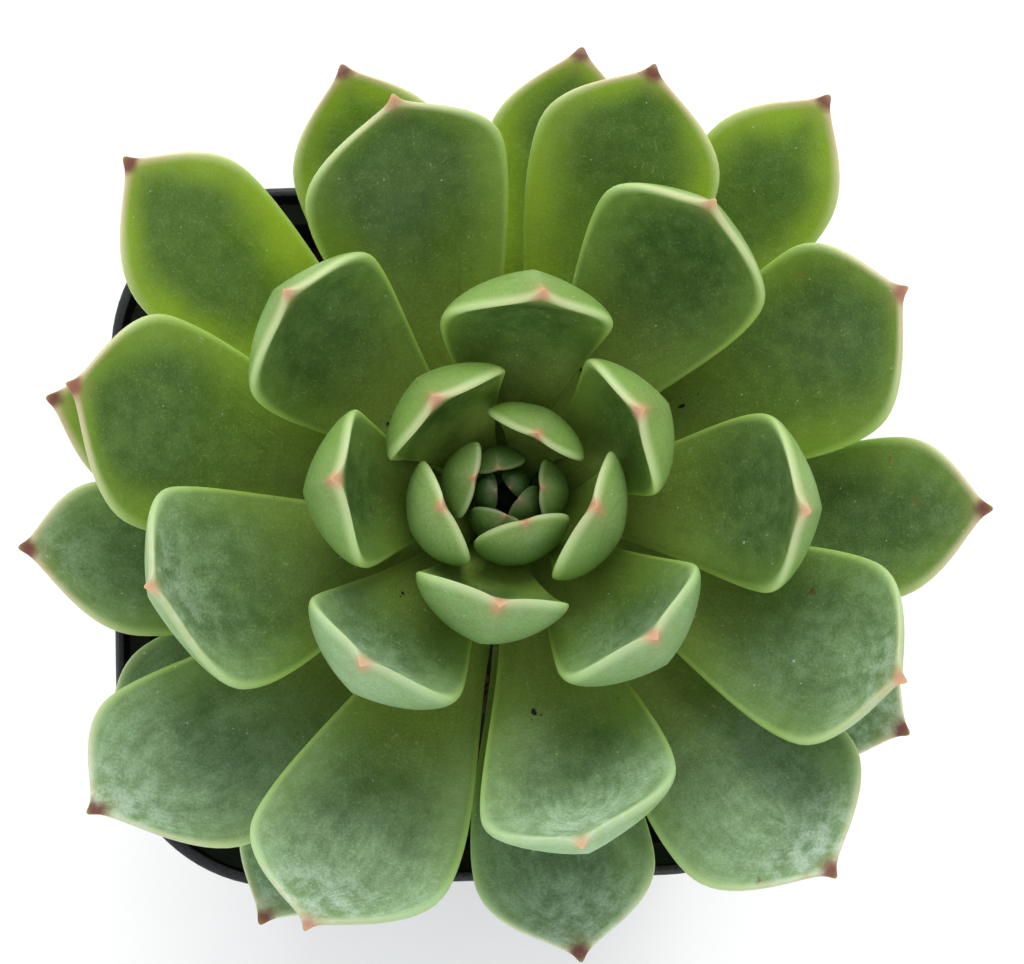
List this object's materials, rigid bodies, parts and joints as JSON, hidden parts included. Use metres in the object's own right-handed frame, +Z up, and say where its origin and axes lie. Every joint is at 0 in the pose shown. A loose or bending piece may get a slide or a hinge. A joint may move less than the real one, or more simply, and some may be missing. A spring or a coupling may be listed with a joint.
{
  "type": "potted succulent",
  "caption": "Rosette succulent with thick, pointed, waxy green leaves round a short stem, standing in potting mix in a thin tapered square nursery pot.",
  "frame": {"origin": "centre of the pot's underside, where it stands", "axes": "+Z up; X and Y across the pot's sides"},
  "size_m": [0.1173, 0.1142, 0.122],
  "materials": {
    "pot": "satin",
    "mix": "matte",
    "stem": "matte",
    "leaf": "satin"
  },
  "bodies": {
    "root": {"pot": "pot", "potting_mix": "mix", "stem": "stem", "heart_leaf_01": "leaf", "heart_leaf_02": "leaf", "heart_leaf_03": "leaf", "heart_leaf_04": "leaf", "heart_leaf_05": "leaf", "heart_leaf_06": "leaf", "heart_leaf_07": "leaf", "heart_leaf_08": "leaf", "heart_leaf_09": "leaf", "heart_leaf_10": "leaf", "inner_leaf_01": "leaf", "inner_leaf_02": "leaf", "inner_leaf_03": "leaf", "inner_leaf_04": "leaf", "inner_leaf_05": "leaf", "inner_leaf_06": "leaf", "inner_leaf_07": "leaf", "inner_leaf_08": "leaf", "inner_leaf_09": "leaf", "inner_leaf_10": "leaf", "middle_leaf_01": "leaf", "middle_leaf_02": "leaf", "middle_leaf_03": "leaf", "middle_leaf_04": "leaf", "middle_leaf_05": "leaf", "middle_leaf_06": "leaf", "middle_leaf_07": "leaf", "middle_leaf_08": "leaf", "middle_leaf_09": "leaf", "middle_leaf_10": "leaf", "middle_leaf_11": "leaf", "outer_leaf_01": "leaf", "outer_leaf_02": "leaf", "outer_leaf_03": "leaf", "outer_leaf_04": "leaf", "outer_leaf_05": "leaf", "outer_leaf_06": "leaf", "outer_leaf_07": "leaf", "outer_leaf_08": "leaf", "outer_leaf_09": "leaf", "outer_leaf_10": "leaf", "outer_leaf_11": "leaf", "outer_leaf_12": "leaf", "outer_leaf_13": "leaf"}
  },
  "joints": []
}
